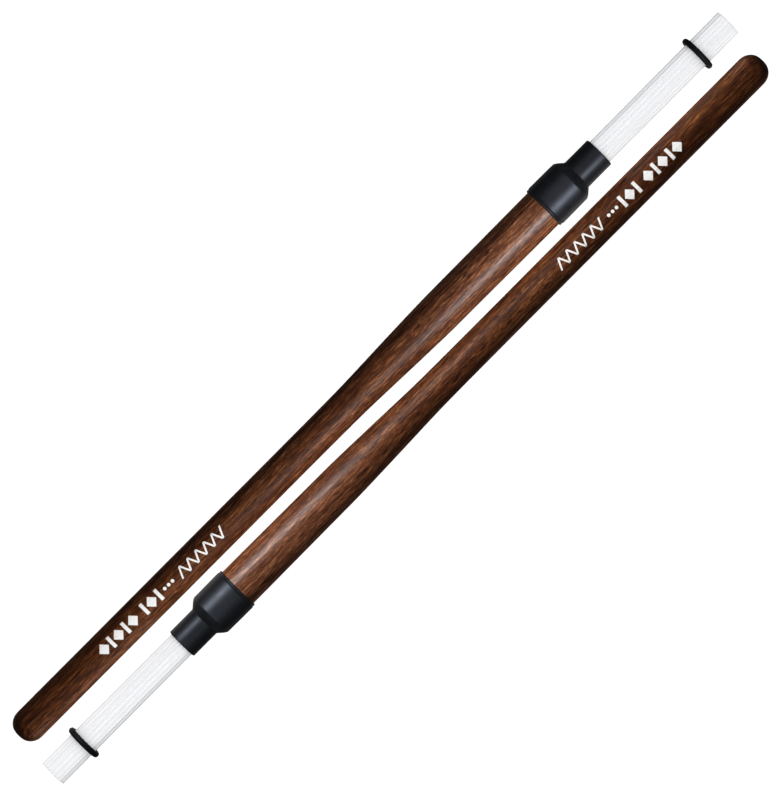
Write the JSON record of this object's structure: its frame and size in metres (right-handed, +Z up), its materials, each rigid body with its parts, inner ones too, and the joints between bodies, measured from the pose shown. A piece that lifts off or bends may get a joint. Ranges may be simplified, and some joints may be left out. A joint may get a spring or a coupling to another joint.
{
  "type": "pair of rute drum brushes",
  "caption": "Pair of rute drum brushes: turned wooden handles, black rubber collars and bundles of white nylon bristles held by a sliding O-ring.",
  "frame": {"origin": "on the resting surface, under the middle of the pair", "axes": "+X along the brushes, towards brush a's bristle tips; +Y from brush b to brush a; +Z up"},
  "size_m": [0.407, 0.0402, 0.0197],
  "materials": {
    "stained_wood": "dark stain under a satin lacquer",
    "collar_rubber": "satin black",
    "bristle_nylon": "slightly translucent white",
    "ring_rubber": "matt black"
  },
  "bodies": {
    "brush_a": {"handle_a": "stained_wood", "collar_a": "collar_rubber", "bristle_core_a": "bristle_nylon"},
    "o_ring_a": {"o_ring_a": "ring_rubber"},
    "bristle_a_01": {"bristle_a_01": "bristle_nylon"},
    "bristle_a_02": {"bristle_a_02": "bristle_nylon"},
    "bristle_a_03": {"bristle_a_03": "bristle_nylon"},
    "bristle_a_04": {"bristle_a_04": "bristle_nylon"},
    "bristle_a_05": {"bristle_a_05": "bristle_nylon"},
    "bristle_a_06": {"bristle_a_06": "bristle_nylon"},
    "bristle_a_07": {"bristle_a_07": "bristle_nylon"},
    "bristle_a_08": {"bristle_a_08": "bristle_nylon"},
    "bristle_a_09": {"bristle_a_09": "bristle_nylon"},
    "bristle_a_10": {"bristle_a_10": "bristle_nylon"},
    "bristle_a_11": {"bristle_a_11": "bristle_nylon"},
    "bristle_a_12": {"bristle_a_12": "bristle_nylon"},
    "bristle_a_13": {"bristle_a_13": "bristle_nylon"},
    "bristle_a_14": {"bristle_a_14": "bristle_nylon"},
    "bristle_a_15": {"bristle_a_15": "bristle_nylon"},
    "bristle_a_16": {"bristle_a_16": "bristle_nylon"},
    "bristle_a_17": {"bristle_a_17": "bristle_nylon"},
    "bristle_a_18": {"bristle_a_18": "bristle_nylon"},
    "brush_b": {"handle_b": "stained_wood", "collar_b": "collar_rubber", "bristle_core_b": "bristle_nylon"},
    "o_ring_b": {"o_ring_b": "ring_rubber"},
    "bristle_b_01": {"bristle_b_01": "bristle_nylon"},
    "bristle_b_02": {"bristle_b_02": "bristle_nylon"},
    "bristle_b_03": {"bristle_b_03": "bristle_nylon"},
    "bristle_b_04": {"bristle_b_04": "bristle_nylon"},
    "bristle_b_05": {"bristle_b_05": "bristle_nylon"},
    "bristle_b_06": {"bristle_b_06": "bristle_nylon"},
    "bristle_b_07": {"bristle_b_07": "bristle_nylon"},
    "bristle_b_08": {"bristle_b_08": "bristle_nylon"},
    "bristle_b_09": {"bristle_b_09": "bristle_nylon"},
    "bristle_b_10": {"bristle_b_10": "bristle_nylon"},
    "bristle_b_11": {"bristle_b_11": "bristle_nylon"},
    "bristle_b_12": {"bristle_b_12": "bristle_nylon"},
    "bristle_b_13": {"bristle_b_13": "bristle_nylon"},
    "bristle_b_14": {"bristle_b_14": "bristle_nylon"},
    "bristle_b_15": {"bristle_b_15": "bristle_nylon"},
    "bristle_b_16": {"bristle_b_16": "bristle_nylon"},
    "bristle_b_17": {"bristle_b_17": "bristle_nylon"},
    "bristle_b_18": {"bristle_b_18": "bristle_nylon"}
  },
  "joints": [
    {"name": "brushes_apart", "type": "slide", "parent": "brush_a", "child": "brush_b", "axis": [0, -1, 0], "range_m": [0, 0.06]},
    {"name": "o_ring_a_slide", "type": "slide", "parent": "brush_a", "child": "o_ring_a", "axis": [-1, 0, -0.0096], "range_m": [-0.012, 0.053]},
    {"name": "bristle_a_01_spread", "type": "hinge", "parent": "brush_a", "child": "bristle_a_01", "pos_m": [0.11496, 0.00946, 0.01485], "axis": [0.0017, -0.9848, -0.1736], "range_deg": [-0.15, 0.62]},
    {"name": "bristle_a_02_spread", "type": "hinge", "parent": "brush_a", "child": "bristle_a_02", "pos_m": [0.11496, 0.00785, 0.01426], "axis": [0.0048, -0.866, -0.5], "range_deg": [-0.15, 0.62]},
    {"name": "bristle_a_03_spread", "type": "hinge", "parent": "brush_a", "child": "bristle_a_03", "pos_m": [0.11497, 0.00654, 0.01316], "axis": [0.0074, -0.6428, -0.766], "range_deg": [-0.15, 0.62]},
    {"name": "bristle_a_04_spread", "type": "hinge", "parent": "brush_a", "child": "bristle_a_04", "pos_m": [0.11499, 0.00568, 0.01167], "axis": [0.009, -0.342, -0.9396], "range_deg": [-0.15, 0.62]},
    {"name": "bristle_a_05_spread", "type": "hinge", "parent": "brush_a", "child": "bristle_a_05", "pos_m": [0.115, 0.00538, 0.00998], "axis": [0.0096, 0, -1], "range_deg": [-0.15, 0.62]},
    {"name": "bristle_a_06_spread", "type": "hinge", "parent": "brush_a", "child": "bristle_a_06", "pos_m": [0.11502, 0.00568, 0.00829], "axis": [0.009, 0.342, -0.9396], "range_deg": [-0.15, 0.62]},
    {"name": "bristle_a_07_spread", "type": "hinge", "parent": "brush_a", "child": "bristle_a_07", "pos_m": [0.11504, 0.00654, 0.00681], "axis": [0.0074, 0.6428, -0.766], "range_deg": [-0.15, 0.62]},
    {"name": "bristle_a_08_spread", "type": "hinge", "parent": "brush_a", "child": "bristle_a_08", "pos_m": [0.11505, 0.00785, 0.0057], "axis": [0.0048, 0.866, -0.5], "range_deg": [-0.15, 0.62]},
    {"name": "bristle_a_09_spread", "type": "hinge", "parent": "brush_a", "child": "bristle_a_09", "pos_m": [0.11505, 0.00946, 0.00512], "axis": [0.0017, 0.9848, -0.1736], "range_deg": [-0.15, 0.62]},
    {"name": "bristle_a_10_spread", "type": "hinge", "parent": "brush_a", "child": "bristle_a_10", "pos_m": [0.11505, 0.01118, 0.00512], "axis": [-0.0017, 0.9848, 0.1736], "range_deg": [-0.15, 0.62]},
    {"name": "bristle_a_11_spread", "type": "hinge", "parent": "brush_a", "child": "bristle_a_11", "pos_m": [0.11505, 0.01279, 0.0057], "axis": [-0.0048, 0.866, 0.5], "range_deg": [-0.15, 0.62]},
    {"name": "bristle_a_12_spread", "type": "hinge", "parent": "brush_a", "child": "bristle_a_12", "pos_m": [0.11504, 0.0141, 0.00681], "axis": [-0.0074, 0.6428, 0.766], "range_deg": [-0.15, 0.62]},
    {"name": "bristle_a_13_spread", "type": "hinge", "parent": "brush_a", "child": "bristle_a_13", "pos_m": [0.11502, 0.01496, 0.00829], "axis": [-0.009, 0.342, 0.9396], "range_deg": [-0.15, 0.62]},
    {"name": "bristle_a_14_spread", "type": "hinge", "parent": "brush_a", "child": "bristle_a_14", "pos_m": [0.115, 0.01526, 0.00998], "axis": [-0.0096, 0, 1], "range_deg": [-0.15, 0.62]},
    {"name": "bristle_a_15_spread", "type": "hinge", "parent": "brush_a", "child": "bristle_a_15", "pos_m": [0.11499, 0.01496, 0.01167], "axis": [-0.009, -0.342, 0.9396], "range_deg": [-0.15, 0.62]},
    {"name": "bristle_a_16_spread", "type": "hinge", "parent": "brush_a", "child": "bristle_a_16", "pos_m": [0.11497, 0.0141, 0.01316], "axis": [-0.0074, -0.6428, 0.766], "range_deg": [-0.15, 0.62]},
    {"name": "bristle_a_17_spread", "type": "hinge", "parent": "brush_a", "child": "bristle_a_17", "pos_m": [0.11496, 0.01279, 0.01426], "axis": [-0.0048, -0.866, 0.5], "range_deg": [-0.15, 0.62]},
    {"name": "bristle_a_18_spread", "type": "hinge", "parent": "brush_a", "child": "bristle_a_18", "pos_m": [0.11496, 0.01118, 0.01485], "axis": [-0.0017, -0.9848, 0.1736], "range_deg": [-0.15, 0.62]},
    {"name": "o_ring_b_slide", "type": "slide", "parent": "brush_b", "child": "o_ring_b", "axis": [1, 0, -0.0096], "range_m": [-0.012, 0.053]},
    {"name": "bristle_b_01_spread", "type": "hinge", "parent": "brush_b", "child": "bristle_b_01", "pos_m": [-0.11496, -0.00946, 0.01485], "axis": [-0.0017, 0.9848, -0.1736], "range_deg": [-0.15, 0.62]},
    {"name": "bristle_b_02_spread", "type": "hinge", "parent": "brush_b", "child": "bristle_b_02", "pos_m": [-0.11496, -0.00785, 0.01426], "axis": [-0.0048, 0.866, -0.5], "range_deg": [-0.15, 0.62]},
    {"name": "bristle_b_03_spread", "type": "hinge", "parent": "brush_b", "child": "bristle_b_03", "pos_m": [-0.11497, -0.00654, 0.01316], "axis": [-0.0074, 0.6428, -0.766], "range_deg": [-0.15, 0.62]},
    {"name": "bristle_b_04_spread", "type": "hinge", "parent": "brush_b", "child": "bristle_b_04", "pos_m": [-0.11499, -0.00568, 0.01167], "axis": [-0.009, 0.342, -0.9396], "range_deg": [-0.15, 0.62]},
    {"name": "bristle_b_05_spread", "type": "hinge", "parent": "brush_b", "child": "bristle_b_05", "pos_m": [-0.115, -0.00538, 0.00998], "axis": [-0.0096, 0, -1], "range_deg": [-0.15, 0.62]},
    {"name": "bristle_b_06_spread", "type": "hinge", "parent": "brush_b", "child": "bristle_b_06", "pos_m": [-0.11502, -0.00568, 0.00829], "axis": [-0.009, -0.342, -0.9396], "range_deg": [-0.15, 0.62]},
    {"name": "bristle_b_07_spread", "type": "hinge", "parent": "brush_b", "child": "bristle_b_07", "pos_m": [-0.11504, -0.00654, 0.00681], "axis": [-0.0074, -0.6428, -0.766], "range_deg": [-0.15, 0.62]},
    {"name": "bristle_b_08_spread", "type": "hinge", "parent": "brush_b", "child": "bristle_b_08", "pos_m": [-0.11505, -0.00785, 0.0057], "axis": [-0.0048, -0.866, -0.5], "range_deg": [-0.15, 0.62]},
    {"name": "bristle_b_09_spread", "type": "hinge", "parent": "brush_b", "child": "bristle_b_09", "pos_m": [-0.11505, -0.00946, 0.00512], "axis": [-0.0017, -0.9848, -0.1736], "range_deg": [-0.15, 0.62]},
    {"name": "bristle_b_10_spread", "type": "hinge", "parent": "brush_b", "child": "bristle_b_10", "pos_m": [-0.11505, -0.01118, 0.00512], "axis": [0.0017, -0.9848, 0.1736], "range_deg": [-0.15, 0.62]},
    {"name": "bristle_b_11_spread", "type": "hinge", "parent": "brush_b", "child": "bristle_b_11", "pos_m": [-0.11505, -0.01279, 0.0057], "axis": [0.0048, -0.866, 0.5], "range_deg": [-0.15, 0.62]},
    {"name": "bristle_b_12_spread", "type": "hinge", "parent": "brush_b", "child": "bristle_b_12", "pos_m": [-0.11504, -0.0141, 0.00681], "axis": [0.0074, -0.6428, 0.766], "range_deg": [-0.15, 0.62]},
    {"name": "bristle_b_13_spread", "type": "hinge", "parent": "brush_b", "child": "bristle_b_13", "pos_m": [-0.11502, -0.01496, 0.00829], "axis": [0.009, -0.342, 0.9396], "range_deg": [-0.15, 0.62]},
    {"name": "bristle_b_14_spread", "type": "hinge", "parent": "brush_b", "child": "bristle_b_14", "pos_m": [-0.115, -0.01526, 0.00998], "axis": [0.0096, 0, 1], "range_deg": [-0.15, 0.62]},
    {"name": "bristle_b_15_spread", "type": "hinge", "parent": "brush_b", "child": "bristle_b_15", "pos_m": [-0.11499, -0.01496, 0.01167], "axis": [0.009, 0.342, 0.9396], "range_deg": [-0.15, 0.62]},
    {"name": "bristle_b_16_spread", "type": "hinge", "parent": "brush_b", "child": "bristle_b_16", "pos_m": [-0.11497, -0.0141, 0.01316], "axis": [0.0074, 0.6428, 0.766], "range_deg": [-0.15, 0.62]},
    {"name": "bristle_b_17_spread", "type": "hinge", "parent": "brush_b", "child": "bristle_b_17", "pos_m": [-0.11496, -0.01279, 0.01426], "axis": [0.0048, 0.866, 0.5], "range_deg": [-0.15, 0.62]},
    {"name": "bristle_b_18_spread", "type": "hinge", "parent": "brush_b", "child": "bristle_b_18", "pos_m": [-0.11496, -0.01118, 0.01485], "axis": [0.0017, 0.9848, 0.1736], "range_deg": [-0.15, 0.62]}
  ],
  "couplings": [
    {"joint": "bristle_a_01_spread", "follows": "o_ring_a_slide", "rad_per_m": 0.2},
    {"joint": "bristle_a_02_spread", "follows": "o_ring_a_slide", "rad_per_m": 0.2},
    {"joint": "bristle_a_03_spread", "follows": "o_ring_a_slide", "rad_per_m": 0.2},
    {"joint": "bristle_a_04_spread", "follows": "o_ring_a_slide", "rad_per_m": 0.2},
    {"joint": "bristle_a_05_spread", "follows": "o_ring_a_slide", "rad_per_m": 0.2},
    {"joint": "bristle_a_06_spread", "follows": "o_ring_a_slide", "rad_per_m": 0.2},
    {"joint": "bristle_a_07_spread", "follows": "o_ring_a_slide", "rad_per_m": 0.2},
    {"joint": "bristle_a_08_spread", "follows": "o_ring_a_slide", "rad_per_m": 0.2},
    {"joint": "bristle_a_09_spread", "follows": "o_ring_a_slide", "rad_per_m": 0.2},
    {"joint": "bristle_a_10_spread", "follows": "o_ring_a_slide", "rad_per_m": 0.2},
    {"joint": "bristle_a_11_spread", "follows": "o_ring_a_slide", "rad_per_m": 0.2},
    {"joint": "bristle_a_12_spread", "follows": "o_ring_a_slide", "rad_per_m": 0.2},
    {"joint": "bristle_a_13_spread", "follows": "o_ring_a_slide", "rad_per_m": 0.2},
    {"joint": "bristle_a_14_spread", "follows": "o_ring_a_slide", "rad_per_m": 0.2},
    {"joint": "bristle_a_15_spread", "follows": "o_ring_a_slide", "rad_per_m": 0.2},
    {"joint": "bristle_a_16_spread", "follows": "o_ring_a_slide", "rad_per_m": 0.2},
    {"joint": "bristle_a_17_spread", "follows": "o_ring_a_slide", "rad_per_m": 0.2},
    {"joint": "bristle_a_18_spread", "follows": "o_ring_a_slide", "rad_per_m": 0.2},
    {"joint": "bristle_b_01_spread", "follows": "o_ring_b_slide", "rad_per_m": 0.2},
    {"joint": "bristle_b_02_spread", "follows": "o_ring_b_slide", "rad_per_m": 0.2},
    {"joint": "bristle_b_03_spread", "follows": "o_ring_b_slide", "rad_per_m": 0.2},
    {"joint": "bristle_b_04_spread", "follows": "o_ring_b_slide", "rad_per_m": 0.2},
    {"joint": "bristle_b_05_spread", "follows": "o_ring_b_slide", "rad_per_m": 0.2},
    {"joint": "bristle_b_06_spread", "follows": "o_ring_b_slide", "rad_per_m": 0.2},
    {"joint": "bristle_b_07_spread", "follows": "o_ring_b_slide", "rad_per_m": 0.2},
    {"joint": "bristle_b_08_spread", "follows": "o_ring_b_slide", "rad_per_m": 0.2},
    {"joint": "bristle_b_09_spread", "follows": "o_ring_b_slide", "rad_per_m": 0.2},
    {"joint": "bristle_b_10_spread", "follows": "o_ring_b_slide", "rad_per_m": 0.2},
    {"joint": "bristle_b_11_spread", "follows": "o_ring_b_slide", "rad_per_m": 0.2},
    {"joint": "bristle_b_12_spread", "follows": "o_ring_b_slide", "rad_per_m": 0.2},
    {"joint": "bristle_b_13_spread", "follows": "o_ring_b_slide", "rad_per_m": 0.2},
    {"joint": "bristle_b_14_spread", "follows": "o_ring_b_slide", "rad_per_m": 0.2},
    {"joint": "bristle_b_15_spread", "follows": "o_ring_b_slide", "rad_per_m": 0.2},
    {"joint": "bristle_b_16_spread", "follows": "o_ring_b_slide", "rad_per_m": 0.2},
    {"joint": "bristle_b_17_spread", "follows": "o_ring_b_slide", "rad_per_m": 0.2},
    {"joint": "bristle_b_18_spread", "follows": "o_ring_b_slide", "rad_per_m": 0.2}
  ]
}
